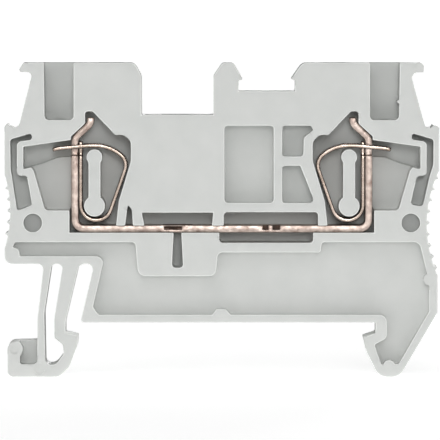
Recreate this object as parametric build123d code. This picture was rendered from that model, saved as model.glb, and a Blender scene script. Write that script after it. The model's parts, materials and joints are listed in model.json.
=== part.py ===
from build123d import *
import math
import os

# Feed-through terminal block for a 35 mm top-hat rail, with one spring-cage
# clamp at each end, seen on its open side.
# X runs along the block, Y through its width (the open side is -Y), Z up.
# The origin is the middle of the rail's width, on the rail seat.
# Millimetres throughout.

# Overall size
BLOCK_LENGTH = 48.5
BLOCK_WIDTH = 5.2
TOP_HEIGHT = 29.0  # rail seat to top edge
FOOT_DEPTH = 6.1  # rail seat down to the underside of the feet
BODY_OFFSET = 0.37  # middle of the block beside the middle of the rail

# Rail and feet
RAIL_WIDTH = 35.0
FLANGE_GAP = 1.15  # room under the seat for the rail's 1 mm flange
HOOK_REACH = 1.4  # how far each hook reaches under the flange
HOOK_SLOPE = 0.3  # drop of the sprung hook's top face towards its tip
FIXED_HOOK_SLOPE = 0.5
RAIL_CLEARANCE = 0.05
FOOT_PRELOAD = 0.42  # the sprung foot stands this far inside the rail's edge
UNDERSIDE = 6.55  # underside of the body beside the sprung foot
ARM_WIDTH = 1.3  # sprung foot: inner arm, slot and outer strap at the seat
ARM_SLOT = 1.05
STRAP_WIDTH = 0.8
ROOT_SPREAD = 0.45  # extra width of the inner arm at its root
ARM_LEAN = 1.44  # sideways lean of the arms between seat and root
RELIEF_WIDTH = 1.5  # slot between the sprung foot and the seat
TAB_REACH = 3.35  # release tab outside the strap
TAB_DEPTH = 3.95  # height of the release tab
TAB_POCKET_DEPTH = 2.0
TOE_WIDTH = 2.25  # underside of the fixed foot
FLANK_TOP = 1.15  # height where the fixed foot's outer flank turns upright
FLANK_SET = 0.15  # fixed foot inside the end of the block

# Depths of the moulding, from the open side unless it says otherwise
BACK_WALL = 1.0  # skin left behind the metal parts
CHAMBER_DEPTH = 3.4
J_SLOT_DEPTH = 3.0
POCKET_DEPTH = 2.4
POCKET_RIB = 0.95  # walls around the three lightening pockets
CAVITY_GAP = 0.43  # back of the spring to the clamp cavity
LOWER_RECESS_DEPTH = 1.6
LAND_RADIUS = 0.67
PIN_MARK_DEPTH = 0.1
SOCKET_DEPTH = 1.2

# Current bar
BAR_THICKNESS = 0.8
BAR_WIDTH = 3.6
BAR_LEVEL = 10.05  # underside of the bar above the rail seat
CLAMP_INSET = 7.45  # end of the block to the outer face of each upstand
BAR_BEND = 1.05
NECK_WIDTH = 2.0
NECK_SET = 1.75  # how far the neck is set in from the upstand
NECK_BEND = 0.9
NECK_ANGLE = 47.0
NECK_TOP = 22.85
NECK_UPRIGHT = 0.25  # straight end above the neck's set
NECK_PLAY = 0.1  # neck to the moulding
SHOULDER_DROP = 0.8  # neck and tongue narrow this far under the clamp leg
JUMPER_SLOT_LENGTH = 3.4
JUMPER_SLOT_WIDTH = 2.2
RIM_NOTCH = 0.5  # nicks along the bar's front edge

# Cage springs
SPRING_THICKNESS = 0.42
SPRING_WIDTH = 3.4
LEG_GAP = 0.03  # contact leg to upstand
SPRING_BEND = 1.72
SPRING_TURN = 160.4
BEND_LIFT = 0.33  # bottom of the bend above the bar
BACK_RUN = 4.78
SHOULDER_BEND = 1.5
SHOULDER_TURN = 69.0
CROWN_BEND = 4.3
CROWN_TURN = 38.0
CROWN_EASE = 13.0
EASE_TURN = 8.0
LEG_RUN = 2.45
TIP_BEND = 1.5
TIP_TURN = 7.0
TIP_RUN = 0.6
TONGUE_DROP = 0.01  # contact leg ends this far below the start of the neck's set
WINDOW_WIDTH = 2.4
WINDOW_PLAY = 0.15  # window to the sides of the neck and the tongue
WINDOW_BACK = 2.75  # window reaches this far inside the upstand's inner face
CLAMP_TRAVEL = 13.0  # opening of the clamp, in degrees

# Pillars inside the springs
HEAD_GAP = 0.34  # pillar heads to the spring
NECK_OF_PILLAR = 1.34
TOP_HEAD_RADIUS = 0.88
TOP_HEAD_GAP = 0.15
PILLAR_SHIFT = 0.16  # pillar outside the middle of the spring's bend
LOW_HEAD_DROP = 0.08  # lower pillar head below the middle of the spring's bend

# Wire and tool entries
FUNNEL_WIDTH = 3.2
FUNNEL_FLOOR = 22.63
FUNNEL_DEPTH = 3.8
FLARE_FROM = 25.15  # above this height the funnel's floor slopes away
FUNNEL_FLARE = 0.5
STUD_RADIUS = 0.18  # small stud on the outer wall of the right-hand funnel
STUD_HEIGHT = 24.67
WIRE_HOLE = 2.5
WIRE_OFFSET = 1.27  # wire hole outside the upstand's outer face
ENTRY_CONE = 0.35
TOOL_SHAFT_WIDTH = 3.2
TOOL_SHAFT_FOOT = 1.5
TOOL_SHAFT_MOUTH = 2.4
TOOL_SHAFT_LEAN = 0.7
JUMPER_SHAFT_WIDTH = 2.6

# Top edge
NOTCH_DEPTH = 5.8
POST_WIDTH = 2.84  # post between the notch and the marker groove
POST_AT = 0.47  # middle of the post from the middle of the block
NOTCH_WALL = 2.4  # left tool shaft to the notch
GROOVE_DEPTH = 3.15
GROOVE_WALL = 3.17  # marker groove to the right tool shaft
LIP_HEIGHT = 1.2
LIP_REACH = 0.47
TOP_FLARE = 0.8

# Ends of the block
EDGE_LIP = 1.37  # reach of the hook at the top left corner
GRIP_RADIUS = 14.0
LEFT_GRIP_DEPTH = 0.62
RIGHT_GRIP_DEPTH = 1.36
LEFT_GRIP_AT = 12.4
RIGHT_GRIP_AT = 10.95
TOOTH_PITCH = 1.29
TOOTH_HEIGHT = 0.36
TOOTH_BASE = 0.62
LEFT_TEETH = 5
RIGHT_TEETH = 9
LEFT_TOOTH_AT = 15.05  # height of the top barb at each end
RIGHT_TOOTH_AT = 16.3

# Alignment pegs on the closed side and their sockets on the open side
PEG_INSET = 3.16  # end of the block to the middle of each peg
PEG_HEIGHT = 11.15
SOCKET_RADIUS = 1.03
PEG_CLEARANCE = 0.04
PEG_LENGTH = 0.9

# Worked out from the sizes above
front = -BLOCK_WIDTH / 2
back = BLOCK_WIDTH / 2
end = BLOCK_LENGTH / 2
foot = -FOOT_DEPTH
bar_reach = end - CLAMP_INSET
peg_x = end - PEG_INSET
metal_floor = back - BACK_WALL
metal_middle = metal_floor - BAR_WIDTH / 2
bar_top = BAR_LEVEL + BAR_THICKNESS
upstand_inner = bar_reach - BAR_THICKNESS
leg_line = upstand_inner - LEG_GAP - SPRING_THICKNESS / 2
bend_x = leg_line - SPRING_BEND
bend_z = bar_top + BEND_LIFT + SPRING_THICKNESS / 2 + SPRING_BEND
wire_x = bar_reach + WIRE_OFFSET
funnel_out = wire_x + FUNNEL_WIDTH / 2 + 0.08
rail_left = -RAIL_WIDTH / 2 - BODY_OFFSET
rail_right = RAIL_WIDTH / 2 - BODY_OFFSET
arm = rail_left + FOOT_PRELOAD
catch = rail_right + RAIL_CLEARANCE
toe_x = catch + 0.4 + TOE_WIDTH
flank_x = end - FLANK_SET


def loop(corners):
    """Closed outline in the XZ plane through (x, z) or (x, z, corner radius) points."""
    points = [Vector(c[0], 0, c[1]) for c in corners]
    radii = [c[2] if len(c) > 2 else 0 for c in corners]
    stops = []
    for i, here in enumerate(points):
        to_last = points[i - 1] - here
        to_next = points[(i + 1) % len(points)] - here
        half = math.radians(to_last.get_angle(to_next)) / 2
        room = 0.49 * min(to_last.length, to_next.length)
        cut = min(radii[i] / math.tan(half), room)
        if cut < 1e-4:
            stops.append([here])
            continue
        radius = cut * math.tan(half)
        inward = (to_last.normalized() + to_next.normalized()).normalized()
        middle = here + inward * (radius / math.sin(half) - radius)
        begin = here + to_last.normalized() * cut
        stops.append([begin, middle, here + to_next.normalized() * cut])
    edges = []
    for i, stop in enumerate(stops):
        if len(stop) == 3:
            edges.append(ThreePointArc(*stop))
        following = stops[(i + 1) % len(stops)][0]
        edges.append(Line(stop[-1], following))
    return Wire(edges)


def slab(corners, near, far):
    """Solid with that outline between y = near and y = far."""
    face = Face(loop(corners)).moved(Location((0, near, 0)))
    return extrude(face, amount=far - near, dir=(0, 1, 0))


def box(x0, x1, y0, y1, z0, z1):
    """Rectangular block between two corners."""
    return slab([(x0, z0), (x1, z0), (x1, z1), (x0, z1)], y0, y1)


def rod(x, z, radius, near, far):
    """Round bar along Y."""
    return Location((x, near, z), (-90, 0, 0)) * extrude(Circle(radius), far - near)


def mirrored(solid, side):
    """The same solid at the other end of the block when side is -1."""
    return solid if side > 0 else mirror(solid, about=Plane.YZ)


def bend_path(start, heading, steps):
    """Centre line of a bent strip: (length,) runs straight on, (radius, angle) bends clockwise.

    Each stretch is a list of (x, z, heading) stations: two on a run, three on a bend.
    """
    x, z = start
    stretches = []
    for step in steps:
        stations = [(x, z, heading)]
        if len(step) == 1:
            angle = math.radians(heading)
            x += step[0] * math.cos(angle)
            z += step[0] * math.sin(angle)
            stations.append((x, z, heading))
        else:
            radius, turn = abs(step[0]), step[1]
            sign = 1 if turn > 0 else -1
            angle = math.radians(heading)
            centre_x = x + sign * radius * math.sin(angle)
            centre_z = z - sign * radius * math.cos(angle)
            for share in (0.5, 1.0):
                angle = math.radians(heading - turn * share)
                x = centre_x - sign * radius * math.sin(angle)
                z = centre_z + sign * radius * math.cos(angle)
                stations.append((x, z, heading - turn * share))
            heading -= turn
        stretches.append(stations)
    return stretches


def beside(station, distance):
    """Point at a distance to the left of a station on a bend path."""
    x, z, heading = station
    angle = math.radians(heading)
    return Vector(x - distance * math.sin(angle), 0, z + distance * math.cos(angle))


def strip(stretches, thickness, near, far):
    """Solid strip of one thickness along a bend path, between y = near and y = far."""
    edges = []
    for side in (thickness / 2, -thickness / 2):
        for stations in stretches:
            points = [beside(s, side) for s in stations]
            edges.append(Line(*points) if len(points) == 2 else ThreePointArc(*points))
    for station in (stretches[0][0], stretches[-1][-1]):
        edges.append(Line(beside(station, thickness / 2), beside(station, -thickness / 2)))
    face = Face(Wire(edges)).moved(Location((0, near, 0)))
    return extrude(face, amount=far - near, dir=(0, 1, 0))


# Centre line of the right-hand half of the bar, from the top of the neck to the middle
lean = math.radians(NECK_ANGLE)
diagonal = (NECK_SET - 2 * NECK_BEND * (1 - math.cos(lean))) / math.sin(lean)
neck_foot = NECK_TOP - NECK_UPRIGHT - 2 * NECK_BEND * math.sin(lean) - diagonal * math.cos(lean)
bar_line = bar_reach - BAR_THICKNESS / 2
bar_path = bend_path(
    (bar_line - NECK_SET, NECK_TOP),
    -90,
    [
        (NECK_UPRIGHT,),
        (NECK_BEND, -NECK_ANGLE),
        (diagonal,),
        (NECK_BEND, NECK_ANGLE),
        (neck_foot - BAR_LEVEL - BAR_THICKNESS / 2 - BAR_BEND,),
        (BAR_BEND, 90),
        (bar_line - BAR_BEND,),
    ],
)
tongue_top = neck_foot - TONGUE_DROP

# Centre line of the right-hand spring: contact leg, U-bend, back, then the clamp leg
contact_path = bend_path(
    (leg_line, tongue_top),
    -90,
    [(tongue_top - bend_z,), (SPRING_BEND, SPRING_TURN), (BACK_RUN,), (SHOULDER_BEND, SHOULDER_TURN)],
)
clamp_path = bend_path(
    contact_path[-1][-1][:2],
    contact_path[-1][-1][2],
    [
        (CROWN_BEND, CROWN_TURN),
        (CROWN_EASE, EASE_TURN),
        (LEG_RUN,),
        (TIP_BEND, TIP_TURN),
        (TIP_RUN,),
    ],
)
crown_z = clamp_path[1][1][1]
leg_z = clamp_path[2][0][1] - SPRING_THICKNESS / 2
tip_x, tip_z, _ = clamp_path[-1][-1]
spring_inner_x = contact_path[3][1][0] - SPRING_THICKNESS / 2
cavity_x = spring_inner_x - CAVITY_GAP
shaft_x = cavity_x + 0.5
shaft_mouth = shaft_x + TOOL_SHAFT_LEAN
post_left, post_right = POST_AT - POST_WIDTH / 2, POST_AT + POST_WIDTH / 2
notch_left, groove_right = NOTCH_WALL - shaft_mouth, shaft_mouth - GROOVE_WALL
jumper_x = (notch_left + post_left) / 2
shoulder_z = leg_z - SHOULDER_DROP
opened = math.atan2(tip_z - bend_z, tip_x - bend_x) - math.radians(CLAMP_TRAVEL)
tip_radius = math.hypot(tip_x - bend_x, tip_z - bend_z)
open_tip_x = bend_x + tip_radius * math.cos(opened)
open_tip_z = bend_z + tip_radius * math.sin(opened)


def make_bar():
    """One strip of copper bent up at both ends, with an upright neck above each upstand."""
    near, far = metal_floor - BAR_WIDTH, metal_floor
    right = strip(bar_path, BAR_THICKNESS, near, far)
    bar = right + mirrored(right, -1)
    for side in (1, -1):
        for y0, y1 in ((near - 1, metal_middle - NECK_WIDTH / 2), (metal_middle + NECK_WIDTH / 2, far + 1)):
            bar -= mirrored(box(bar_reach - 4, bar_reach + 1, y0, y1, shoulder_z, NECK_TOP + 1), side)
    half_slot, half_width = JUMPER_SLOT_LENGTH / 2, JUMPER_SLOT_WIDTH / 2
    low, high = BAR_LEVEL - 1, bar_top + 1
    slot_sides = (metal_middle - half_width, metal_middle + half_width)
    bar -= box(jumper_x - half_slot, jumper_x + half_slot, *slot_sides, low, high)
    nick = near + RIM_NOTCH
    bar -= box(jumper_x - 1.5, jumper_x + 0.5, near - 1, nick, bar_top - 0.45, bar_top - 0.1)
    for x, width in ((jumper_x + 9.5, 0.65), (jumper_x + 10.6, 0.85)):
        bar -= box(x, x + width, near - 1, nick, bar_top - 0.5, high)
    return bar


def make_spring():
    """Right-hand cage spring: one strip whose clamp leg crosses over its own contact leg."""
    near = metal_middle - SPRING_WIDTH / 2
    far = metal_middle + SPRING_WIDTH / 2
    tongue = WINDOW_WIDTH / 2 - WINDOW_PLAY
    contact = strip(contact_path, SPRING_THICKNESS, near, far)
    for y0, y1 in ((near - 1, metal_middle - tongue), (metal_middle + tongue, far + 1)):
        contact -= box(leg_line - 1, leg_line + 1, y0, y1, shoulder_z, tongue_top + 1)
    clamp = strip(clamp_path, SPRING_THICKNESS, near, far)
    window = (metal_middle - WINDOW_WIDTH / 2, metal_middle + WINDOW_WIDTH / 2)
    clamp -= box(upstand_inner - WINDOW_BACK, bar_reach + 0.05, *window, leg_z - 1, crown_z + 1)
    return contact + clamp


def silhouette():
    """Outline of the moulding, clockwise from the top left corner."""
    inner = end - 3.05
    slot = arm - ARM_WIDTH
    strap = slot - ARM_SLOT - STRAP_WIDTH
    hook = -FLANGE_GAP
    top, floor = TOP_HEIGHT, TOP_HEIGHT - GROOVE_DEPTH
    plateau = TOP_HEIGHT - NOTCH_DEPTH
    lip_floor = floor + LIP_HEIGHT
    left = [
        (-end + 2.1, top, 0.15),
        (-end + 1.65, top - 0.7, 0.2),
        (-end + 1.75, top - 1.02, 0.1),
        (-end + 1.75 + EDGE_LIP, top - 1.05, 0.45),
        (-end + 1.72, top - 6.6, 0.3),
        (-end + 1.5, top - 7.1, 0.2),
        (-end + 1.15, top - 7.32, 0.3),
        (-end + 0.5, top - 6.98, 0.15),
        (-end + 0.3, top - 6.72, 0.1),
        (-end, top - 7.1, 0.1),
        (-end, UNDERSIDE, 0.85),
    ]
    sprung_foot = [
        (strap + ROOT_SPREAD + 0.25, UNDERSIDE, 0.6),
        (strap, 0.4, 2.0),
        (strap, foot + TAB_DEPTH + 0.1, 0.2),
        (strap - TAB_REACH, foot + TAB_DEPTH, 0.9),
        (strap - TAB_REACH, foot, 0.7),
        (arm - 0.75, foot, 1.2),
        (arm + 0.45, foot + 1.15, 1.5),
        (arm + 1.33, foot + 3.5, 2.0),
        (arm + HOOK_REACH, hook - HOOK_SLOPE, 0.08),
        (arm, hook, 0.1),
        (arm, 0.0, 1.5),
        (arm + ARM_LEAN + 0.12, UNDERSIDE, 0.75),
        (arm + ARM_LEAN + RELIEF_WIDTH + 0.25, UNDERSIDE, 0.75),
        (arm + RELIEF_WIDTH + 0.15, 0.0, 0.35),
    ]
    fixed_foot = [
        (catch, 0.0, 0.1),
        (catch, hook, 0.05),
        (catch - HOOK_REACH, hook - FIXED_HOOK_SLOPE, 0.08),
        (catch - HOOK_REACH + 0.35, hook - 2.1, 2.5),
        (catch + 0.4, foot, 1.6),
        (toe_x, foot, 1.6),
        (flank_x, FLANK_TOP, 0.5),
        (flank_x, UNDERSIDE - 1.2, 0.3),
        (end, UNDERSIDE, 0.5),
    ]
    right = [
        (end, top - 7.15, 0.25),
        (end - 0.7, top - 6.95, 0.1),
        (end - 0.85, top - 7.28, 0.3),
        (end - 1.5, top - 7.2, 0.3),
        (end - 1.7, top - 6.6, 0.3),
        (inner, top - 1.65, 0.2),
        (end - 2.75, top - 1.1, 0.5),
        (end - 1.75, top - 1.05, 0.1),
        (end - 1.72, top - 0.3, 0.1),
        (end - 2.0, top, 0.1),
    ]
    top_edge = [
        (groove_right + TOP_FLARE, top, 1.0),
        (groove_right - LIP_REACH, lip_floor + 0.1, 0.1),
        (groove_right, lip_floor, 0.05),
        (groove_right, floor),
        (post_right, floor),
        (post_right, lip_floor, 0.05),
        (post_right + LIP_REACH, lip_floor + 0.05, 0.1),
        (post_right - TOP_FLARE + 0.2, top, 0.5),
        (post_left + TOP_FLARE + 0.2, top, 0.5),
        (post_left, top - 1.5, 0.5),
        (post_left, plateau),
        (notch_left, plateau),
        (notch_left, top - 1.5, 1.2),
        (notch_left - TOP_FLARE, top, 0.7),
    ]
    return left + sprung_foot + fixed_foot + right + top_edge


def grip(side, depth, middle, teeth, first):
    """Hollow in one end of the block for the fingers, and the barbs that stand in it."""
    centre_x = end - depth + GRIP_RADIUS
    centre = (side * centre_x, middle)
    hollow = rod(*centre, GRIP_RADIUS, front - 1, back + 1)
    barbs = []
    for i in range(teeth):
        angle = (middle - first + i * TOOTH_PITCH) / GRIP_RADIUS
        points = []
        for offset, rise in ((-TOOTH_BASE / 2, -0.1), (0, TOOTH_HEIGHT), (TOOTH_BASE / 2, -0.1)):
            a = angle + offset / GRIP_RADIUS
            r = GRIP_RADIUS - rise
            points.append((side * (centre_x - r * math.cos(a)), middle - r * math.sin(a)))
        barbs.append(slab(points, front, back))
    return hollow, barbs


def clamp_cuts():
    """Everything the moulding is hollowed by around the right-hand clamp."""
    deep = metal_floor
    open_side = front - 1
    wall = bar_reach + 0.03
    roof = leg_z + 0.95
    neck_out = bar_reach - NECK_SET
    bend_shift = math.tan(lean / 2) * (NECK_BEND + BAR_THICKNESS / 2 + NECK_PLAY)
    neck_low = neck_foot + bend_shift
    neck_high = neck_low + (NECK_SET - 0.2) / math.tan(lean)
    cavity = [
        (bar_reach + 0.2, BAR_LEVEL),
        (bar_reach + 0.2, 12.6),
        (wall, 12.8),
        (wall, neck_low),
        (neck_out + 0.2, neck_high),
        (neck_out + 0.2, NECK_TOP + 0.75, 0.35),
        (neck_out - 0.65, NECK_TOP + 0.75, 0.4),
        (cavity_x + 1.75, crown_z + 1.25, 0.25),
        (cavity_x + 0.75, crown_z + 1.28, 0.9),
        (cavity_x, crown_z + 0.55, 0.9),
        (cavity_x, 18.1, 1.0),
        (cavity_x + 1.35, 13.6, 1.0),
        (cavity_x + 1.75, BAR_LEVEL),
    ]
    channel = [
        (wall - 0.5, roof),
        (wall, roof),
        (end - 2.1, leg_z + 0.2),
        (end - 2.1, open_tip_z - 0.9, 0.15),
        (open_tip_x, open_tip_z - 0.37, 1.5),
        (wall + 1.4, leg_z - 1.05, 2.0),
        (wall - 0.5, leg_z - 1.0),
    ]
    chamber = [
        (wall - 0.3, leg_z - 0.8),
        (end - 2.9, leg_z - 2.0),
        (end - 3.27, leg_z - 2.48, 0.3),
        (end - 4.55, 12.55, 0.5),
        (wall - 0.3, 12.55),
    ]
    funnel = [
        (wire_x - FUNNEL_WIDTH / 2 + 0.05, TOP_HEIGHT + 1),
        (wire_x - FUNNEL_WIDTH / 2 + 0.05, FUNNEL_FLOOR, 0.5),
        (funnel_out, FUNNEL_FLOOR, 0.5),
        (funnel_out + 0.1, TOP_HEIGHT + 1),
    ]
    funnel_floor = front + FUNNEL_DEPTH
    wedge = [
        Vector(0, funnel_floor, FLARE_FROM),
        Vector(0, funnel_floor + FUNNEL_FLARE, TOP_HEIGHT),
        Vector(0, funnel_floor, TOP_HEIGHT),
    ]
    slope = extrude(Face(Wire.make_polygon(wedge)), amount=end, dir=(1, 0, 0))
    slope = slope & slab(funnel, funnel_floor - 1, funnel_floor + 1)
    shaft_low = crown_z + 0.6
    tool_shaft = [
        (shaft_mouth, TOP_HEIGHT + 0.01),
        (shaft_mouth + TOOL_SHAFT_MOUTH, TOP_HEIGHT + 0.01),
        (shaft_x + TOOL_SHAFT_FOOT, shaft_low),
        (shaft_x, shaft_low),
    ]
    half_tool = TOOL_SHAFT_WIDTH / 2
    cone_top = WIRE_HOLE / 2 + ENTRY_CONE
    hole_length = FUNNEL_FLOOR - roof + 1.5
    wire_hole = Location((wire_x, metal_middle, roof - 1)) * extrude(Circle(WIRE_HOLE / 2), hole_length)
    cone = Cone(WIRE_HOLE / 2, cone_top, ENTRY_CONE)
    cone = Location((wire_x, metal_middle, FUNNEL_FLOOR - ENTRY_CONE / 2)) * cone
    return [
        slab(cavity, open_side, deep),
        slab(channel, open_side, deep),
        slab(chamber, open_side, front + CHAMBER_DEPTH),
        slab(funnel, open_side, funnel_floor),
        slope,
        slab(tool_shaft, metal_middle - half_tool, metal_middle + half_tool),
        wire_hole,
        cone,
        rod(peg_x, PEG_HEIGHT, SOCKET_RADIUS, open_side, front + SOCKET_DEPTH),
    ]


def j_slot(side):
    """Slot hooked round the rib that closes the right-hand clamp, or the left one mirrored."""
    leg = [
        (end - 0.72, 17.1, 2.0),
        (end - 1.4, 12.6, 0.35),
        (end - 1.75, 12.6, 0.35),
        (end - 3.1, 13.15, 0.3),
        (end - 2.5, 16.45, 0.35),
        (end - 1.4, 16.4, 0.5),
    ]
    if side > 0:
        leg = [
            (end - 0.67, 17.7, 1.5),
            (end - 1.06, 16.4, 3.0),
            (end - 1.85, 12.95, 0.45),
            (end - 3.2, 13.2, 0.35),
            (end - 2.5, 16.35, 0.35),
            (end - 1.4, 16.5, 0.45),
        ]
    arm_above = [
        (end - 1.4, leg_z + 0.75, 0.5),
        (end - 3.1, leg_z + 1.0, 0.3),
        (end - 3.05, leg_z + 1.72, 0.3),
        (end - 0.65, leg_z + 1.0, 0.4),
    ]
    return slab(leg + arm_above, front - 1, front + J_SLOT_DEPTH)


def pillar():
    """Dog-bone pillar that the right-hand spring is wrapped round."""
    x = bend_x + PILLAR_SHIFT
    head = SPRING_BEND - SPRING_THICKNESS / 2 - HEAD_GAP
    high = crown_z - SPRING_THICKNESS / 2 - TOP_HEAD_GAP - TOP_HEAD_RADIUS
    low = bend_z - LOW_HEAD_DROP
    span = (front, metal_floor + 0.2)
    stem = box(x - NECK_OF_PILLAR / 2, x + NECK_OF_PILLAR / 2, *span, low, high)
    return rod(x, low, head, *span) + stem + rod(x, high, TOP_HEAD_RADIUS, *span)


def middle_cuts():
    """Lightening pockets, bar slot, jumper shaft and the recess over the rail."""
    open_side = front - 1
    deep = metal_floor
    shallow = front + POCKET_DEPTH
    plateau = TOP_HEIGHT - NOTCH_DEPTH
    field_left = post_left + 1.25
    field_right = cavity_x - 0.05
    split = field_left + 0.56 * (field_right - field_left)
    narrow = split + POCKET_RIB
    waist = cavity_x - 1.0
    large = [(field_left, 22.0, 0.4), (split, 22.0, 0.4), (split, 13.4, 0.4), (field_left, 13.4, 0.4)]
    upper = [
        (narrow, 22.0, 0.3),
        (field_right - 0.15, 22.0, 0.2),
        (field_right + 0.1, 21.5, 0.2),
        (waist, 20.65, 0.4),
        (waist - 0.05, 18.57, 0.4),
        (narrow, 18.57, 0.3),
    ]
    lower = [
        (narrow, 17.53, 0.3),
        (waist - 0.4, 17.53, 0.25),
        (field_right + 0.3, 13.39, 0.4),
        (narrow, 13.39, 0.3),
    ]
    over_left = [
        (notch_left, 12.3),
        (post_left, 12.3),
        (post_left - 0.17, bar_top - 0.1),
        (notch_left + 0.33, bar_top - 0.1),
    ]
    over_end = cavity_x + 0.6
    over_start = field_left - 0.08
    over_right = [
        (over_start, bar_top - 0.1),
        (over_start, 12.35, 0.4),
        (over_end, 12.35, 0.4),
        (over_end, bar_top - 0.1),
    ]
    under_right = [
        (over_start - 0.5, BAR_LEVEL + 0.1),
        (over_start - 0.5, 8.92, 0.4),
        (over_end - 0.55, 8.92, 0.4),
        (over_end - 0.55, BAR_LEVEL + 0.1),
    ]
    slit_x = -cavity_x - 0.35
    slit = [
        (slit_x - 0.3, bar_top - 0.1),
        (slit_x, 13.2, 0.1),
        (slit_x + 0.45, 12.65, 0.2),
        (slit_x + 0.58, bar_top - 0.1),
    ]
    tip_room = [
        (jumper_x - 0.42, BAR_LEVEL + 0.1),
        (jumper_x - 0.62, 6.15, 0.4),
        (jumper_x + 0.62, 6.15, 0.4),
        (jumper_x + 0.42, BAR_LEVEL + 0.1),
    ]
    half_shaft = JUMPER_SLOT_LENGTH / 2
    half_width = JUMPER_SHAFT_WIDTH / 2
    shaft_sides = (metal_middle - half_width, metal_middle + half_width)
    shaft = box(jumper_x - half_shaft, jumper_x + half_shaft, *shaft_sides, 12.0, plateau + 1)
    bar_run = box(-bar_reach - 0.2, bar_reach + 0.2, open_side, deep, BAR_LEVEL, bar_top)
    return [
        slab(large, open_side, shallow),
        slab(upper, open_side, shallow),
        slab(lower, open_side, shallow),
        slab(over_left, open_side, deep),
        slab(over_right, open_side, deep),
        slab(under_right, open_side, deep),
        slab(slit, open_side, deep),
        slab(tip_room, open_side, deep),
        shaft,
        bar_run,
        slab(lower_recess(), open_side, front + LOWER_RECESS_DEPTH),
    ]


def lower_recess():
    """Wide shallow recess between the bar and the rail seat, running down into the fixed foot."""
    wall = 0.9
    floor = wall
    level = 9.0
    relief = arm + RELIEF_WIDTH + 0.15
    shelf_end = cavity_x + 0.9
    return [
        (-end + 1.15, level, 0.25),
        (notch_left - 0.72, level, 0.45),
        (notch_left - 0.4, 5.2, 0.9),
        (post_left + 0.3, 5.2, 0.8),
        (post_left + 0.5, 7.85, 0.6),
        (shelf_end, 7.85, 0.3),
        (shelf_end + 0.1, level, 0.4),
        (end - 2.2, level, 0.8),
        (end - 1.4, 5.7, 0.2),
        (end - 1.1, 4.4, 0.3),
        (end - 1.1, FLANK_TOP + 0.1, 0.2),
        (toe_x - 0.05, -4.6, 0.35),
        (catch + 0.65, -4.7, 0.3),
        (catch - 0.15, -2.45, 0.3),
        (catch + 1.25, -1.75, 0.7),
        (catch + 1.25, floor, 0.85),
        (1.0, floor),
        (0.4, floor + 0.63),
        (-0.6, floor + 0.63),
        (-1.05, floor),
        (relief + 2.02, floor, 0.3),
        (relief + 1.42, floor + 0.85, 0.3),
        (relief + 2.74, 7.45, 0.8),
        (-end + 1.72, 7.45),
        (-end + 1.6, 8.2, 0.8),
        (-end + 0.95, 8.45),
    ]


def recess_lands():
    """Round lands at face level at two edges of the lower recess."""
    spots = [(end - 1.05, 4.85, LAND_RADIUS), (catch + 1.5, -4.85, LAND_RADIUS)]
    return [rod(x, z, radius, front, front + LOWER_RECESS_DEPTH) for x, z, radius in spots]


def foot_cuts():
    """The slot through the sprung foot, the tool pocket in its release tab and two pin marks."""
    slot = arm - ARM_WIDTH
    strap = slot - ARM_SLOT
    through = [
        (slot + ARM_LEAN - ROOT_SPREAD + 0.03, UNDERSIDE, 0.55),
        (slot + 0.02, 0.4, 2.0),
        (slot + 0.05, -1.7, 0.3),
        (slot + 1.0, -2.5, 0.4),
        (slot + 1.1, -3.5, 0.9),
        (slot + 0.2, -4.7, 0.9),
        (strap + 0.1, -4.7, 0.9),
        (strap, 1.1, 4.0),
        (strap + ARM_LEAN - ROOT_SPREAD - 0.15, UNDERSIDE, 0.55),
    ]
    tab = strap - STRAP_WIDTH
    pocket = [
        (tab, foot + TAB_DEPTH + 1),
        (tab, foot + 1.45, 0.5),
        (tab - 1.95, foot + 1.45, 0.3),
        (tab - 1.95, foot + 2.3, 0.3),
        (tab - 1.5, foot + 3.2, 0.8),
        (tab - 2.0, foot + TAB_DEPTH + 0.05, 0.3),
        (tab - 2.0, foot + TAB_DEPTH + 1),
    ]
    mark = front + PIN_MARK_DEPTH
    return [
        slab(through, front - 1, back + 1),
        slab(pocket, front - 1, front + TAB_POCKET_DEPTH),
        rod(tab - 2.55, foot + 3.05, 0.47, front - 1, mark),
        rod(tab + 0.25, foot + 0.9, 0.6, front - 1, mark),
    ]


def make_housing():
    """The one-piece moulding, built about the middle of the block."""
    body = slab(silhouette(), front, back)
    left_hollow, left_barbs = grip(-1, LEFT_GRIP_DEPTH, LEFT_GRIP_AT, LEFT_TEETH, LEFT_TOOTH_AT)
    right_hollow, right_barbs = grip(1, RIGHT_GRIP_DEPTH, RIGHT_GRIP_AT, RIGHT_TEETH, RIGHT_TOOTH_AT)
    body = body - [left_hollow, right_hollow]
    body = body + left_barbs + right_barbs
    cuts = middle_cuts() + foot_cuts()
    extras = recess_lands()
    extras.append(rod(funnel_out, STUD_HEIGHT, STUD_RADIUS, front, front + FUNNEL_DEPTH + 0.1))
    for side in (1, -1):
        cuts += [mirrored(cut, side) for cut in clamp_cuts() + [j_slot(side)]]
        extras.append(mirrored(pillar(), side))
        peg = rod(peg_x, PEG_HEIGHT, SOCKET_RADIUS - PEG_CLEARANCE, back - 0.2, back + PEG_LENGTH)
        extras.append(mirrored(peg, side))
    body = body - cuts
    return body + extras


def save(name, solid):
    """Write one piece in its place over the rail."""
    export_step(Location((BODY_OFFSET, 0, 0)) * solid, f"parts/{name}.step")


os.makedirs("parts", exist_ok=True)
spring = make_spring()
save("housing", make_housing())
save("current_bar", make_bar())
save("left_spring", mirrored(spring, -1))
save("right_spring", spring)
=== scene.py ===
# %% [markdown]
# # A feed-through terminal block for a mounting rail
#
# The object is a thin plastic moulding, 48.5 mm long and 5.2 mm wide, that snaps onto a
# 35 mm rail. Its open side shows a bent current bar and a cage spring at each end.
# The solids come in ready-made. This lesson gives them soft edges, moulded and rolled
# finishes, springs whose points get shares of a turn at the U-bend, a camera and a light studio.

# %% Load the solids
import json
import math

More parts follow.
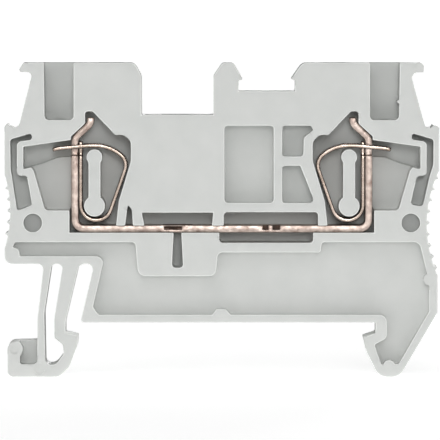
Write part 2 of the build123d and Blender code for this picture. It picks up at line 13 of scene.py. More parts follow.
import bmesh
import bpy
import numpy as np
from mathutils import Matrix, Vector
from mathutils.bvhtree import BVHTree
from mathutils.geometry import delaunay_2d_cdt as triangulate
from mathutils.kdtree import KDTree


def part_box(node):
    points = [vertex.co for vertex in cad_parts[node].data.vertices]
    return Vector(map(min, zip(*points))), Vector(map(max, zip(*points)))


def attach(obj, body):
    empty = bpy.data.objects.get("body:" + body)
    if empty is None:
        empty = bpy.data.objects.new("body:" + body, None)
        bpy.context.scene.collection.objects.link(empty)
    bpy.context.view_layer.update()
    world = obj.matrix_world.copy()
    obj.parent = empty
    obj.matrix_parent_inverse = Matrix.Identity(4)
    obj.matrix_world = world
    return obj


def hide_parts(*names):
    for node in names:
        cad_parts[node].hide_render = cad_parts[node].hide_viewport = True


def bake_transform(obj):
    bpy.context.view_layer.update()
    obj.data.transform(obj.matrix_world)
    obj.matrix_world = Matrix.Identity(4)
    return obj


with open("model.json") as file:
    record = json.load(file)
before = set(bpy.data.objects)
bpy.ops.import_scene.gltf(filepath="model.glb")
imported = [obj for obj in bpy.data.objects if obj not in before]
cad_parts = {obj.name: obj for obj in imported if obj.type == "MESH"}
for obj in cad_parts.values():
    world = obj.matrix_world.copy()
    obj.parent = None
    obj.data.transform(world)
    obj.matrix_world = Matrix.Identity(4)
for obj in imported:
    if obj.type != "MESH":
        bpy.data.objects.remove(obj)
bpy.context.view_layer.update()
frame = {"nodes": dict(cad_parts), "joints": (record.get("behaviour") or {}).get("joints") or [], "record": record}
MM = 0.001
print("solids:", sorted(frame["nodes"]))

# %% [markdown]
# ## Camera
#
# The block is seen square on, from a little above, and nearly without perspective, as
# a catalogue picture is taken. A long lens far away gives that flat look. The distance
# follows from the width that the picture has to hold at the block's open side.

# %% Camera
PICTURE_WIDTH = 49.08 * MM
LENS, SENSOR = 500.0, 36.0
LOOK_UP_TO = Vector((0.17, -2.6, 11.48)) * MM
CAMERA_TILT = math.radians(2.7)
NEAREST, FARTHEST = 0.01, 10


def placed(name, data):
    """A new object, linked to the scene."""
    thing = bpy.data.objects.new(name, data)
    bpy.context.scene.collection.objects.link(thing)
    return thing


camera = placed("camera", bpy.data.cameras.new("camera"))
camera.data.lens, camera.data.sensor_width = LENS, SENSOR
camera.data.clip_start, camera.data.clip_end = NEAREST, FARTHEST
camera_distance = PICTURE_WIDTH * LENS / SENSOR
camera_back = Vector((0, -math.cos(CAMERA_TILT), math.sin(CAMERA_TILT)))
camera.location = LOOK_UP_TO + camera_back * camera_distance
camera.rotation_mode = "QUATERNION"
camera.rotation_quaternion = (-camera_back).to_track_quat("-Z", "Y")
bpy.context.scene.camera = camera
print(f"camera {camera_distance:.3f} m in front of the open side")

# %% [markdown]
# ## Floor
#
# A sheet of pale paper that bends up behind the object is the usual ground for a
# catalogue picture. A wide round dish does the same from every side: it is flat in the
# middle and its rim rises with no corner. The rim stays low, so that lamps that stand
# only a little above the floor still shine over it.

# %% Pale paper
def pale_paper():
    """Plain matt paper for the floor, which glows a little and so stays white."""
    paper = bpy.data.materials.new("studio_paper")
    paper.use_nodes = True
    shader = paper.node_tree.nodes["Principled BSDF"]
    shader.inputs["Emission Color"].default_value = (1, 1, 1, 1)
    shader.inputs["Emission Strength"].default_value = 0.6
    shader.inputs["Base Color"].default_value = (0.93, 0.93, 0.93, 1)
    shader.inputs["Roughness"].default_value = 0.9
    shader.inputs["Specular IOR Level"].default_value = 0.1
    return paper


# %% Floor that rises at its rim
DISH_FLAT, DISH_TURN, DISH_RIM = 1.75, 0.15, 0.16  # in metres
FLAT_SHARES = (0.25, 0.5, 1.0)
DISH_SIDES, TURN_STEPS = 96, 12


def dish_rings():
    """Radius and height of each ring: the flat middle, a quarter round, then the rim."""
    rings = [(DISH_FLAT * share, 0.0) for share in FLAT_SHARES]
    for step in range(1, TURN_STEPS + 1):
        angle = math.pi / 2 * step / TURN_STEPS
        rings.append((DISH_FLAT + DISH_TURN * math.sin(angle), DISH_TURN * (1 - math.cos(angle))))
    return rings + [(DISH_FLAT + DISH_TURN, DISH_RIM)]


def dish_mesh(level):
    """The dish, ring by ring from the middle, which lies at that height."""
    rings = dish_rings()
    turns = [2 * math.pi * i / DISH_SIDES for i in range(DISH_SIDES)]
    verts = [(r * math.cos(a), r * math.sin(a), level + z) for r, z in rings for a in turns]
    faces = [list(range(DISH_SIDES))]
    for ring in range(len(rings) - 1):
        low, high = ring * DISH_SIDES, (ring + 1) * DISH_SIDES
        for i in range(DISH_SIDES):
            j = (i + 1) % DISH_SIDES
            faces.append((low + i, high + i, high + j, low + j))
    mesh = bpy.data.meshes.new("studio_floor")
    mesh.from_pydata(verts, [], faces)
    mesh.polygons.foreach_set("use_smooth", [True] * len(faces))
    return mesh


floor_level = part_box("housing")[0].z
studio_floor = placed("studio_floor", dish_mesh(floor_level))
studio_floor.data.materials.append(pale_paper())
print(f"floor at {floor_level / MM:.1f} mm")

# %% [markdown]
# ## Light
#
# The picture is lit softly from the front. A weak surround fills the shadows. A broad
# high lamp leaves every recess darkest under its upper edge, and a low one reaches into
# the deep slots. Three more low lamps stand at the ends and behind. They show those
# sides and leave the upper faces darker than the open side. Suns are used, because
# their light is the same at every part of so small an object.

# %% Lamps and surround
SURROUND = 0.08
# Degrees round from the front, degrees above the floor, width in degrees, strength
LAMPS = {
    "high_front": (-14, 45, 50, 0.85),
    "low_front": (2, 12, 15, 0.74),
    "left_end": (-80, 14, 20, 0.45),
    "right_end": (80, 14, 20, 0.45),
    "low_back": (172, 14, 20, 0.8),
}


def soft_sun(name, around, above, width, strength):
    """Distant soft lamp: degrees round from the front and above the floor, and its width."""
    sun = placed(name, bpy.data.lights.new(name, "SUN"))
    sun.data.energy, sun.data.angle = strength, math.radians(width)
    around, above = math.radians(around), math.radians(above)
    level = math.cos(above)
    towards = Vector((level * math.sin(around), -level * math.cos(around), math.sin(above)))
    sun.rotation_mode = "QUATERNION"
    sun.rotation_quaternion = towards.to_track_quat("Z", "Y")


world = bpy.data.worlds.new("studio")
bpy.context.scene.world = world
world.use_nodes = True
surround = world.node_tree.nodes["Background"]
surround.inputs["Color"].default_value = (1.0, 1.0, 1.0, 1)
surround.inputs["Strength"].default_value = SURROUND
for lamp_name, lamp in LAMPS.items():
    soft_sun(lamp_name, *lamp)
bpy.context.scene.view_settings.view_transform = "Standard"

# %% [markdown]
# ## Finishes
#
# Each finish is a small tree of nodes. Noise in the object's own coordinates gives the
# uneven colour and the fine surface, so no picture is needed and nothing shifts when
# the camera moves. Sizes are given as the width of one speck in millimetres.

# %% Helpers for finishes
NOISE_LOW, NOISE_HIGH = 0.3, 0.7  # nearly all of the noise lies between these values


class Finish:
    """A material with a few short ways to add nodes to it."""

    def __init__(self, name):
        self.material = bpy.data.materials.new(name)
        self.material.use_nodes = True
        self.nodes = self.material.node_tree.nodes
        self.links = self.material.node_tree.links
        self.shader = self.nodes["Principled BSDF"]
        self.place = self.nodes.new("ShaderNodeTexCoord").outputs["Object"]

    def speckle(self, speck_mm, detail=3.0):
        """Noise whose specks are speck_mm wide."""
        squeeze = self.nodes.new("ShaderNodeMapping")
        squeeze.inputs["Scale"].default_value = [1 / (speck_mm * MM)] * 3
        noise = self.nodes.new("ShaderNodeTexNoise")
        noise.inputs["Scale"].default_value = 1.0
        noise.inputs["Detail"].default_value = detail
        self.links.new(self.place, squeeze.inputs["Vector"])
        self.links.new(squeeze.outputs["Vector"], noise.inputs["Vector"])
        return noise.outputs["Fac"]

    def spread(self, value, low, high):
        """Brings noise to the range from low to high."""
        ranged = self.nodes.new("ShaderNodeMapRange")
        ranged.inputs["From Min"].default_value = NOISE_LOW
        ranged.inputs["From Max"].default_value = NOISE_HIGH
        ranged.inputs["To Min"].default_value = low
        ranged.inputs["To Max"].default_value = high
        self.links.new(value, ranged.inputs["Value"])
        return ranged.outputs["Result"]

    def between(self, value, dark, light):
        """Colour that runs from dark to light with the noise."""
        ramp = self.nodes.new("ShaderNodeValToRGB")
        ramp.color_ramp.elements[0].color = (*dark, 1)
        ramp.color_ramp.elements[1].color = (*light, 1)
        ramp.color_ramp.elements[0].position = NOISE_LOW
        ramp.color_ramp.elements[1].position = NOISE_HIGH
        self.links.new(value, ramp.inputs["Fac"])
        return ramp.outputs["Color"]

    def relief(self, value, depth_mm):
        """Bump of that depth, put into the shader."""
        bump = self.nodes.new("ShaderNodeBump")
        bump.inputs["Distance"].default_value = depth_mm * MM
        bump.inputs["Strength"].default_value = 1.0
        self.links.new(value, bump.inputs["Height"])
        self.links.new(bump.outputs["Normal"], self.shader.inputs["Normal"])

    def paint(self, **sources):
        """Links outputs to the shader's colour, roughness and so on."""
        for socket, source in sources.items():
            self.links.new(source, self.shader.inputs[socket.replace("_", " ")])


# %% [markdown]
# ## Grey plastic
#
# The moulding is light grey polyamide. It comes off a steel mould with a fine
# spark-eroded grain, which makes it matt, and it is slightly cloudy. A bump from very
# fine noise gives the grain. One recipe in three tones serves the whole moulding: its
# faces; its edges, made lighter as a painted highlight; and the floors of the round
# sockets, made darker as painted shade.

# %% Moulded grey plastic
PLASTIC_DARK, PLASTIC_LIGHT = (0.565, 0.578, 0.562), (0.60, 0.61, 0.594)
PLASTIC_GLOSS = 0.2
# Tones of the plain colour: a painted highlight for the edges, painted shade for the sockets' floors
EDGE_HIGHLIGHT_TONE, SOCKET_SHADE_TONE = 1.28, 0.72


def moulded_plastic(name, tone):
    """Light grey polyamide, slightly cloudy, with a fine spark-eroded grain; tone scales its colour, up for a
    painted highlight and down for painted shade.
    """
    finish = Finish(name)
    cloud = finish.speckle(3.0, detail=4)
    dark, light = ([c * tone for c in colour] for colour in (PLASTIC_DARK, PLASTIC_LIGHT))
    finish.paint(
        Base_Color=finish.between(cloud, dark, light),
        Roughness=finish.spread(finish.speckle(0.4), low=0.5, high=0.62),
    )
    finish.relief(finish.speckle(0.09, detail=2), depth_mm=0.004)
    finish.shader.inputs["Specular IOR Level"].default_value = PLASTIC_GLOSS
    return finish.material


grey_plastic = moulded_plastic("moulded_grey_plastic", 1.0)
# Two more tones of the same plastic: a painted highlight for the edges and painted shade for the sockets' floors
edge_highlight_plastic = moulded_plastic("plastic_edge_painted_highlight", EDGE_HIGHLIGHT_TONE)
socket_shade_plastic = moulded_plastic("plastic_off_a_polished_core", SOCKET_SHADE_TONE)
print("made", grey_plastic.name, "and two finishes for edges and sockets")

# %% [markdown]
# ## Copper and steel
#
# The bar is copper strip, rolled, stamped and then tin-plated. The thin plating is
# bright in some places and dull and pink in others. The bottoms of the nicks along its
# edge are painted nearly black as shadow. The springs are rolled steel strip, tinted by
# tempering, and their rounded edges are painted nearly black as shade. Metals show
# mostly what they mirror, so each is a metallic shader whose colour and roughness vary
# with noise.


# %% Tin-plated copper
COPPER_DULL, COPPER_BRIGHT = (0.27, 0.20, 0.17), (0.65, 0.55, 0.49)
# Nearly black: painted shadow for the bottoms of the nicks
NICK_SHADOW_DARK, NICK_SHADOW_LIGHT = (0.03, 0.02, 0.016), (0.12, 0.07, 0.05)


def painted_nick_shadow():
    """Painted shadow, nearly black copper, at the bottom of the nicks along the bar."""
    finish = Finish("painted_shadow_in_nicks")
    finish.paint(
        Base_Color=finish.between(finish.speckle(0.4), NICK_SHADOW_DARK, NICK_SHADOW_LIGHT),
        Roughness=finish.spread(finish.speckle(0.2), low=0.6, high=0.8),
    )
    finish.relief(finish.speckle(0.1, detail=3), depth_mm=0.02)
    finish.shader.inputs["Metallic"].default_value = 0.5
    return finish.material


def tinned_copper():
    """Rolled copper strip under a thin, bright, slightly pink tin plating."""
    finish = Finish("tinned_copper_strip")
    patches = finish.speckle(0.9, detail=6)
    finish.paint(
        Base_Color=finish.between(patches, COPPER_DULL, COPPER_BRIGHT),
        Roughness=finish.spread(finish.speckle(0.5), low=0.3, high=0.46),
    )
    finish.relief(finish.speckle(0.35, detail=3), depth_mm=0.04)
    finish.shader.inputs["Metallic"].default_value = 1.0
    return finish.material


# The second finish is painted shadow for the nicks
copper, nick_shadow = tinned_copper(), painted_nick_shadow()
print("made", copper.name, "and", nick_shadow.name)

# %% Spring steel
STEEL_DARK, STEEL_LIGHT = (0.28, 0.22, 0.18), (0.52, 0.43, 0.37)
# Nearly black: painted shade on the springs' rounded edges
SPRING_EDGE_SHADE_DARK, SPRING_EDGE_SHADE_LIGHT = (0.06, 0.05, 0.04), (0.14, 0.11, 0.10)


def spring_steel(name, dark, light):
    """Rolled spring strip in the given colours: warm tempering tints, or nearly black painted shade for the
    rounded edges.
    """
    finish = Finish(name)
    tint = finish.speckle(1.8, detail=3)
    finish.paint(
        Base_Color=finish.between(tint, dark, light),
        Roughness=finish.spread(finish.speckle(0.3), low=0.22, high=0.36),
    )
    finish.relief(finish.speckle(0.12, detail=3), depth_mm=0.006)
    finish.shader.inputs["Metallic"].default_value = 1.0
    return finish.material


steel = spring_steel("bright_spring_steel", STEEL_DARK, STEEL_LIGHT)
# The rounded edges get a finish of painted shade
spring_edge_shade = spring_steel("spring_edge_painted_shade", SPRING_EDGE_SHADE_DARK, SPRING_EDGE_SHADE_LIGHT)
print("made", steel.name, "and", spring_edge_shade.name)

# %% [markdown]
# ## Soft edges
#
# No moulded or stamped edge is razor sharp. Blender's bevel rounds edges well on even
# triangles, but a solid from a CAD file has long thin ones that fold over. So each flat
# patch of a solid is first filled with even triangles between its own edges. Then only
# the real edges get a bevel, narrower where a strip of material is narrow.

# %% Flat patches of a solid
SAME_PLANE = math.cos(math.radians(0.4))


def gathered(firsts, nearby):
    """Groups of things that lead to one another, by what is nearby each of them."""
    seen, groups = set(), []
    for first in firsts:
        if first in seen:
            continue
        seen.add(first)
        group, waiting = [], [first]
        while waiting:
            thing = waiting.pop()
            group.append(thing)
            for near in nearby(thing, first):
                if near not in seen:
                    seen.add(near)
                    waiting.append(near)
        groups.append(group)
    return groups


def in_plane(face, first):
    """Neighbours of a face that lie in the plane of the first one."""
    touching = (near for edge in face.edges for near in edge.link_faces)
    return [near for near in touching if near.normal.dot(first.normal) > SAME_PLANE]


def flat_patches(solid):
    """Faces of a solid, gathered where they touch and lie in one plane."""
    return gathered(sorted(solid.faces, key=lambda face: -face.calc_area()), in_plane)


# %% Real edges and how wide their bevel may be
REAL_EDGE = math.cos(math.radians(32))
NARROW_STRIP = 0.35


def bevel_shares(solid, patches, owner, normals):
    """Real edges, with a share of the full bevel: less beside a narrow strip."""
    length, edges = {}, []
    for edge in solid.edges:
        sides = [owner[face] for face in edge.link_faces]
        if len(sides) == 2 and normals[sides[0]].dot(normals[sides[1]]) < REAL_EDGE:
            edges.append((edge, sides))
            for side in sides:
                length[side] = length.get(side, 0) + edge.calc_length() / MM
    room = {
        side: 2 * sum(f.calc_area() for f in patches[side]) / MM**2 / run
        for side, run in length.items()
    }
    return {edge: min(1, *(room[side] / NARROW_STRIP for side in sides)) for edge, sides in edges}


# %% What lies inside an outline
NEARLY_ZERO = 1e-12


def within(points, starts, ends):
    """Which flat points lie inside an outline, by counting the edges to their right."""
    across, up = points[:, :1], points[:, 1:]
    spans = (starts[:, 1] > up) != (ends[:, 1] > up)
    rise = ends[:, 1] - starts[:, 1]
    rise[rise == 0] = NEARLY_ZERO
    meets = starts[:, 0] + (up - starts[:, 1]) * (ends[:, 0] - starts[:, 0]) / rise
    return (spans & (meets > across)).sum(axis=1) % 2 == 1


def is_inside(part, corners, starts, ends):
    """Whether a part lies inside the outline, by the middle of its largest triangle."""
    shapes = np.array([[corners[i] for i in face] for face in part])
    sides = shapes[:, 1:] - shapes[:, :1]
    area = np.abs(sides[:, 0, 0] * sides[:, 1, 1] - sides[:, 0, 1] * sides[:, 1, 0])
    middle = shapes[area.argmax()].mean(axis=0)
    return within(middle[None], starts, ends)[0]


def parts_between(faces, index, walls):
    """Triangles gathered into the parts that the outline keeps apart."""
    over = {}
    for number, face in enumerate(faces):
        for a, b in zip(face, face[1:] + face[:1]):
            over.setdefault(tuple(sorted((index[a], index[b]))), []).append(number)
    near = {number: [] for number in range(len(faces))}
    for pair, sides in over.items():
        if pair not in walls and len(sides) == 2:
            near[sides[0]].append(sides[1])
            near[sides[1]].append(sides[0])
    groups = gathered(near, lambda number, first: near[number])
    return [[faces[number] for number in group] for group in groups]


# %% A loose grid of points
GRID_GAP, RIM_GAP = 1.3, 0.75  # in steps
ROW_GAP = 0.87  # in gaps of the grid


def inner_points(outline, starts, ends, step):
    """A loose grid of points that keeps clear of the outline."""
    low, high = outline.min(axis=0), outline.max(axis=0)
    gap = step * GRID_GAP
    grid = [
        (x + gap / 2 * (row % 2), y)
        for row, y in enumerate(np.arange(low[1], high[1], gap * ROW_GAP))
        for x in np.arange(low[0], high[0], gap)
    ]
    grid = np.array(grid).reshape(-1, 2)
    grid = grid[within(grid, starts, ends)]
    near = KDTree(len(outline))
    for i, point in enumerate(outline):
        near.insert((*point, 0), i)
    near.balance()
    return [Vector(p) for p in grid if near.find((*p, 0))[2] > step * RIM_GAP]


# %% A solid with even triangles
SAME_POINT, NO_AREA = 1e-6, 1e-7  # in metres
SAME_CORNER = 1e-7  # in millimetres
BULGE = 4e-4  # split edges curve in by this much, so that no triangle is quite flat


class EvenSolid:
    """The same solid, its flat patches filled with even triangles."""

    def __init__(self, source, step_mm):
        self.step = step_mm
        solid = bmesh.new()
        solid.from_mesh(source)
        bmesh.ops.remove_doubles(solid, verts=solid.verts, dist=SAME_POINT)
        bmesh.ops.dissolve_degenerate(solid, dist=NO_AREA, edges=solid.edges)
        solid.normal_update()
        solid.verts.index_update()
        self.points = [vert.co / MM for vert in solid.verts]
        self.patches = flat_patches(solid)
        self.owner = {f: n for n, patch in enumerate(self.patches) for f in patch}
        self.normals = [patch[0].normal.copy() for patch in self.patches]
        self.real_edges = bevel_shares(solid, self.patches, self.owner, self.normals)
        self.pieces, self.triangles = {}, []
        for number in range(len(self.patches)):
            self.fill(number)
        solid.free()

    def split(self, edge):
        """Points along an edge, at most a step apart, the same for both its patches."""
        if edge not in self.pieces:
            first, last = (vert.index for vert in edge.verts)
            start, end = self.points[first], self.points[last]
            count = max(1, math.ceil((end - start).length / self.step))
            added = range(len(self.points), len(self.points) + count - 1)
            self.points += [start.lerp(end, i / count) for i in range(1, count)]
            self.pieces[edge] = [first, *added, last]
        return self.pieces[edge]

    def flat_outline(self, number, origin, right, up):
        """One patch's outline, laid flat: its points, their places and its edges."""
        place, flat, rim = {}, [], []
        for face in self.patches[number]:
            for corner in face.loops:
                if all(self.owner[f] == number for f in corner.edge.link_faces):
                    continue
                run = self.split(corner.edge)
                run = run if run[0] == corner.vert.index else run[::-1]
                ends = [self.points[i] - origin for i in (run[0], run[-1])]
                start, end = (Vector((p.dot(right), p.dot(up))) for p in ends)
                inward = Vector((start.y - end.y, end.x - start.x)).normalized()
                for i, index in enumerate(run):
                    if index not in place:
                        part = i / (len(run) - 1)
                        place[index] = len(flat)
                        flat.append(start.lerp(end, part) + inward * BULGE * part * (1 - part))
                rim += [(place[a], place[b]) for a, b in zip(run, run[1:])]
        return place, flat, rim

    def fill(self, number):
        """Even triangles over one flat patch, between the pieces of its edges."""
        right = self.normals[number].orthogonal().normalized()
        up = self.normals[number].cross(right)
        origin = self.points[self.patches[number][0].verts[0].index]
        place, flat, rim = self.flat_outline(number, origin, right, up)
        outline = np.array(flat)
        starts, ends = outline[[a for a, _ in rim]], outline[[b for _, b in rim]]
        inner = inner_points(outline, starts, ends, self.step)
        filled = triangulate(flat + inner, rim, [], 0, SAME_CORNER, True)
        corners, _, faces, came_from = filled[:4]
        names, index = list(place), []
        for corner, sources in zip(corners, came_from):
            known = [s for s in sources if s < len(flat)]
            if not known:
                self.points.append(origin + right * corner.x + up * corner.y)
            index.append(names[known[0]] if known else len(self.points) - 1)
        walls = {tuple(sorted((names[a], names[b]))) for a, b in rim}
        for part in parts_between(faces, index, walls):
            if is_inside(part, corners, starts, ends):
                self.triangles += [[index[i] for i in face] for face in part]

    def mesh(self, name):
        """The new mesh, with the share of the bevel on each real edge."""
        made = bpy.data.meshes.new(name)
        made.from_pydata([p * MM for p in self.points], [], self.triangles)
        width = {}
        for edge, share in self.real_edges.items():
            run = self.pieces.get(edge, [])
            width.update({tuple(sorted(pair)): share for pair in zip(run, run[1:])})
        shares = [width.get(tuple(sorted(edge.vertices)), 0) for edge in made.edges]
        marks = made.attributes.new("bevel_weight_edge", "FLOAT", "EDGE")
        marks.data.foreach_set("value", shares)
        made.polygons.foreach_set("use_smooth", [True] * len(made.polygons))
        return made


# %% Bevels that fold over
TURNED_OVER = -0.1  # how far a face may turn from the old surface, as a cosine
THROWN_OFF = 0.75  # how far it may leave that surface, in widths of the bevel


def folded(mesh, surface, width):
    """Middles of the faces that a bevel turned over or threw off the old surface."""
    spots = []
    for face in mesh.polygons:
        normal = surface.find_nearest(face.center)[1]
        far = max(surface.find_nearest(mesh.vertices[i].co)[3] for i in face.vertices)
        if face.normal.dot(normal) < TURNED_OVER or far > THROWN_OFF * width:
            spots.append(face.center.copy())
    return spots


def calm(mesh, spots, reach, keep):
    """Scales down the bevel on every edge near a spot."""
    tree = KDTree(len(spots))
    for i, spot in enumerate(spots):
        tree.insert(spot, i)
    tree.balance()
    close = [tree.find(vert.co)[2] < reach for vert in mesh.vertices]
    marks = mesh.attributes["bevel_weight_edge"].data
    for edge, mark in zip(mesh.edges, marks):
        if mark.value and any(close[i] for i in edge.vertices):
            mark.value *= keep


# %% [markdown]
# ## Shading
#
# After the bevel every face is shaded smoothly, and long flat faces would pick up a
# smudge from the round beside them. Normals weighted by the size of the faces keep the
# flat ones flat. Where a bevel had to be left out, the edge is marked sharp.

# %% Even shading
SHARP_FROM, LARGE_FACES = math.radians(55), 80


def as_mesh(thing):
    """A new mesh of an object, with its modifiers applied."""
    scene_now = bpy.context.evaluated_depsgraph_get()
    return bpy.data.meshes.new_from_object(thing.evaluated_get(scene_now))


def evenly_shaded(mesh):
    """Flat faces that look flat, with smooth rounds; an edge left sharp stays sharp."""
    mesh.set_sharp_from_angle(angle=SHARP_FROM)
    holder = placed("shading", mesh)
    shade = holder.modifiers.new("even_shading", "WEIGHTED_NORMAL")
    shade.keep_sharp, shade.weight = True, LARGE_FACES
    shaded = as_mesh(holder)
    bpy.data.objects.remove(holder)
    return shaded


# %% Round the edges
BEVEL_SEGMENTS = 2
BEVEL_KEPT = (0.5, 0.5, 0.0, 0.0, None)  # share that is kept at each try, where it folds
CALM_REACH = 0.35


def kept_inside(mesh, node_name):
    """The same mesh, with no point outside the box of its solid."""
    low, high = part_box(node_name)
    for vert in mesh.vertices:
        vert.co = [min(max(c, a), b) for c, a, b in zip(vert.co, low, high)]
    return mesh


def softened(node_name, piece_name, finishes, width_mm, step_mm, solid=None):
    """A piece with a solid's shape and rounded edges, which have the last finish."""
    mesh = EvenSolid(solid or frame["nodes"][node_name].data, step_mm).mesh(piece_name)
    surface = BVHTree.FromPolygons(
        [vert.co.copy() for vert in mesh.vertices], [tuple(f.vertices) for f in mesh.polygons]
    )
    piece = placed(piece_name, mesh)
    for finish in finishes:
        mesh.materials.append(finish)
    edge = piece.modifiers.new("rounded_edges", "BEVEL")
    edge.width, edge.segments, edge.limit_method = width_mm * MM, BEVEL_SEGMENTS, "WEIGHT"
    edge.use_clamp_overlap, edge.material = False, len(finishes) - 1
    for keep in BEVEL_KEPT:
        made = as_mesh(piece)
        spots = folded(made, surface, width_mm * MM)
        print(piece_name, "has", len(made.polygons), "faces,", len(spots), "folded")
        if not spots or keep is None:
            break
        calm(mesh, spots, CALM_REACH * MM, keep)
        mesh.update()
        piece.update_tag()
    piece.modifiers.clear()
    piece.data = evenly_shaded(kept_inside(made, node_name))
    return piece


# %% [markdown]
# ## One open chamber
#
# On the real block each spring's channel opens into the wire chamber under it with one
# plain step. The solid still has a thin curved wall between the two, 2 mm long and
# 0.15 mm thick at most. A block over each wall is taken away with a boolean, which
# leaves a closed mesh. It is done first, so that the step gets even triangles too.

# %% Blocks over the thin walls
# The left wall's ends, in x and z, then the block's spare room, height and depth
STEP_FROM, STEP_TO = (-19.092, 17.924), (-17.082, 18.425)
STEP_MARGIN, STEP_HEIGHT = 0.1, 0.36
CUT_FROM, CHAMBER_FLOOR = -3.0, 0.8
MIDDLE = 0.37  # of the block, which the right wall mirrors


def step_outline(side):
    """Corners of the block in x and z; side is 1 on the right."""
    start, end = np.array(STEP_FROM), np.array(STEP_TO)
    along = (end - start) / np.linalg.norm(end - start)
    above = np.array((-along[1], along[0]))
    first, last = start - STEP_MARGIN * along, end + STEP_MARGIN * along
    low, high = -STEP_MARGIN * above, (STEP_HEIGHT - STEP_MARGIN) * above
    outline = [first + low, last + low, last + high, first + high]
    if side > 0:
        outline = [np.array((2 * MIDDLE - x, z)) for x, z in outline]
    return outline


def step_cutter(side):
    """Block over the thin wall between the spring's channel and the chamber under it."""
    outline = step_outline(side)
    mesh = bpy.data.meshes.new("cutter")
    verts = [(x * MM, y * MM, z * MM) for y in (CUT_FROM, CHAMBER_FLOOR) for x, z in outline]
    sides = [(i, (i + 1) % 4, (i + 1) % 4 + 4, i + 4) for i in range(4)]
    mesh.from_pydata(verts, [], [(3, 2, 1, 0), (4, 5, 6, 7)] + sides)
    shape = bmesh.new()
    shape.from_mesh(mesh)
    bmesh.ops.recalc_face_normals(shape, faces=shape.faces)
    shape.to_mesh(mesh)
    shape.free()
    return placed("cutter", mesh)


# %% Cut the thin walls away
def open_chambers():
    """The housing's mesh with the thin walls over both chambers cut away."""
    body = placed("body", frame["nodes"]["housing"].data.copy())
    cutters = [step_cutter(side) for side in (-1, 1)]
    for cutter in cutters:
        cut = body.modifiers.new("cut", "BOOLEAN")
        cut.operation, cut.solver, cut.object = "DIFFERENCE", "EXACT", cutter
    opened = as_mesh(body)
    for helper in [body, *cutters]:
        bpy.data.objects.remove(helper)
    print("opened both chambers:", len(opened.polygons), "faces")
    return opened


# %% [markdown]
# ## The moulding
#
# The moulding is one shot of polyamide, so it is one piece. Only its edges on the open
# side get a painted highlight, and the sockets' floors get painted shade. Three finishes
# on one mesh show that, with no seam between pieces. It keeps the shape of its solid, so
# it replaces it on the same body.

# %% Where the sockets lie
SOCKET_RADIUS, SOCKET_SKIN, SOCKET_END = 1.1, 0.4, 2
SOCKETS = [
    Vector(mount["pos_m"])
    for mount in frame["record"]["mounts"]
    if mount["name"].startswith("socket_")
]


def on_socket_floor(point):
    """Whether a point lies inside one of the two round sockets of the open side."""
    return any(
        math.hypot(point.x - socket.x, point.z - socket.z) < SOCKET_RADIUS * MM
        and point.y > socket.y - SOCKET_SKIN * MM
        and point.y < SOCKET_END * MM
        for socket in SOCKETS
    )


# %% The moulding
# How far in from the open side the edges keep their painted highlight, and which finish is the sockets' painted
# shade
HIGHLIGHT_DEPTH = 0.15
PLAIN_FINISH, SOCKET_SHADE_FINISH = 0, 2

moulding = softened(
    "housing",
    "moulded_housing",
    [grey_plastic, edge_highlight_plastic],
    width_mm=0.1,
    step_mm=0.6,
    solid=open_chambers(),
)
moulding.data.materials.append(socket_shade_plastic)
# The sockets' floors get painted shade; edges deeper than the open side's skin lose the painted highlight
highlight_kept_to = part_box("housing")[0].y + HIGHLIGHT_DEPTH * MM
for face in moulding.data.polygons:
    if on_socket_floor(face.center):
        face.material_index = SOCKET_SHADE_FINISH
    elif face.center.y > highlight_kept_to:
        face.material_index = PLAIN_FINISH
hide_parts("housing")
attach(moulding, "housing")

# %% [markdown]
# ## The current bar
#
# The bar is one strip of copper, bent up at both ends before it is plated. It too keeps
# the shape of its solid. The faces at the bottom of the nicks along its level run get a
# finish of painted shadow.

# %% The current bar
RUN_HEIGHT, NICK_DEPTH = 0.85, 0.3
FACING_OUT = -0.9
NICK_SHADOW_FINISH = 1

bar = softened("current_bar", "bent_current_bar", [copper], width_mm=0.1, step_mm=0.5)
bar.data.materials.append(nick_shadow)
bar_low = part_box("current_bar")[0]
run_top, nick_from = bar_low.z + RUN_HEIGHT * MM, bar_low.y + NICK_DEPTH * MM
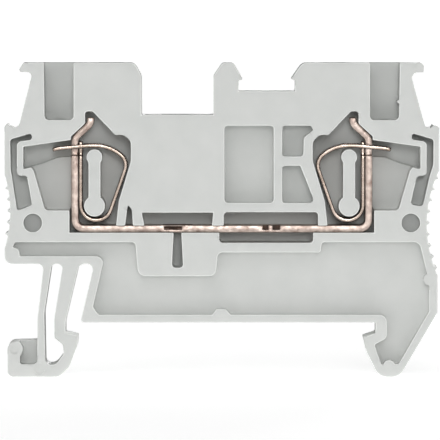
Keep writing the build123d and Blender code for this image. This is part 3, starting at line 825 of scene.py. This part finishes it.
# Faces at the bottom of the nicks get the painted shadow
for face in bar.data.polygons:
    if face.normal.y < FACING_OUT and face.center.y > nick_from and face.center.z < run_top:
        face.material_index = NICK_SHADOW_FINISH
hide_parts("current_bar")
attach(bar, "housing")

# %% [markdown]
# ## Cage springs
#
# On the real block a screwdriver pushes the upper leg of the spring down and out while
# the inner leg stays against the bar. Only the U-bend gives. So each spring is a copy
# of its solid whose points get shares of the turn: none on the inner leg, all past the
# U-bend, and rising along its arc. The shares are counted and printed, not kept, so the
# spring does not bend.

# %% How a spring shares its turn
U_BEND = 160.4  # degrees of arc
LEG_FROM, LEG_TO = 1.2, 2.2  # the inner leg, across from the hinge
LEG_TOP, TONGUE_HALF = 5.9, 1.12  # above LEG_TOP only its narrow tongue is left


def share_turn(piece, pivot, sign):
    """Weights: 0 on the inner leg, 1 past the U-bend, rising evenly along its arc; only how many lie between 0 and
    1 is printed, and they are not kept.
    """
    place = np.array([v.co for v in piece.data.vertices]) / MM
    across = sign * (place[:, 0] - pivot.x / MM)
    above = place[:, 2] - pivot.z / MM
    beside = np.abs(place[:, 1] - pivot.y / MM)
    turned = np.degrees(np.arctan2(-above, across)) % 360
    share = np.clip(turned / U_BEND, 0, 1)
    inner_leg = (across > LEG_FROM) & (across < LEG_TO) & (above > 0)
    inner_leg &= (above < LEG_TOP) | (beside < TONGUE_HALF)
    share[inner_leg] = 0
    print(piece.name, "shares its turn over", int(((share > 0) & (share < 1)).sum()), "points")


# %% A spring copy and the shares of its turn
def spring_piece(side, sign):
    """Copy of one spring with its own edges and finish. sign is 1 on the right."""
    # The rounded edges take the last finish, which is nearly black painted shade
    piece = softened(
        f"{side}_spring", f"{side}_cage_spring", [steel, spring_edge_shade], width_mm=0.08, step_mm=0.4
    )
    hinge = next(j for j in frame["joints"] if j["child"] == f"{side}_clamp")
    pivot = Vector(hinge["pos_m"])
    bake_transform(piece)
    share_turn(piece, pivot, sign)
    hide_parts(f"{side}_spring")


for spring_side, spring_sign in (("left", -1), ("right", 1)):
    spring_piece(spring_side, spring_sign)
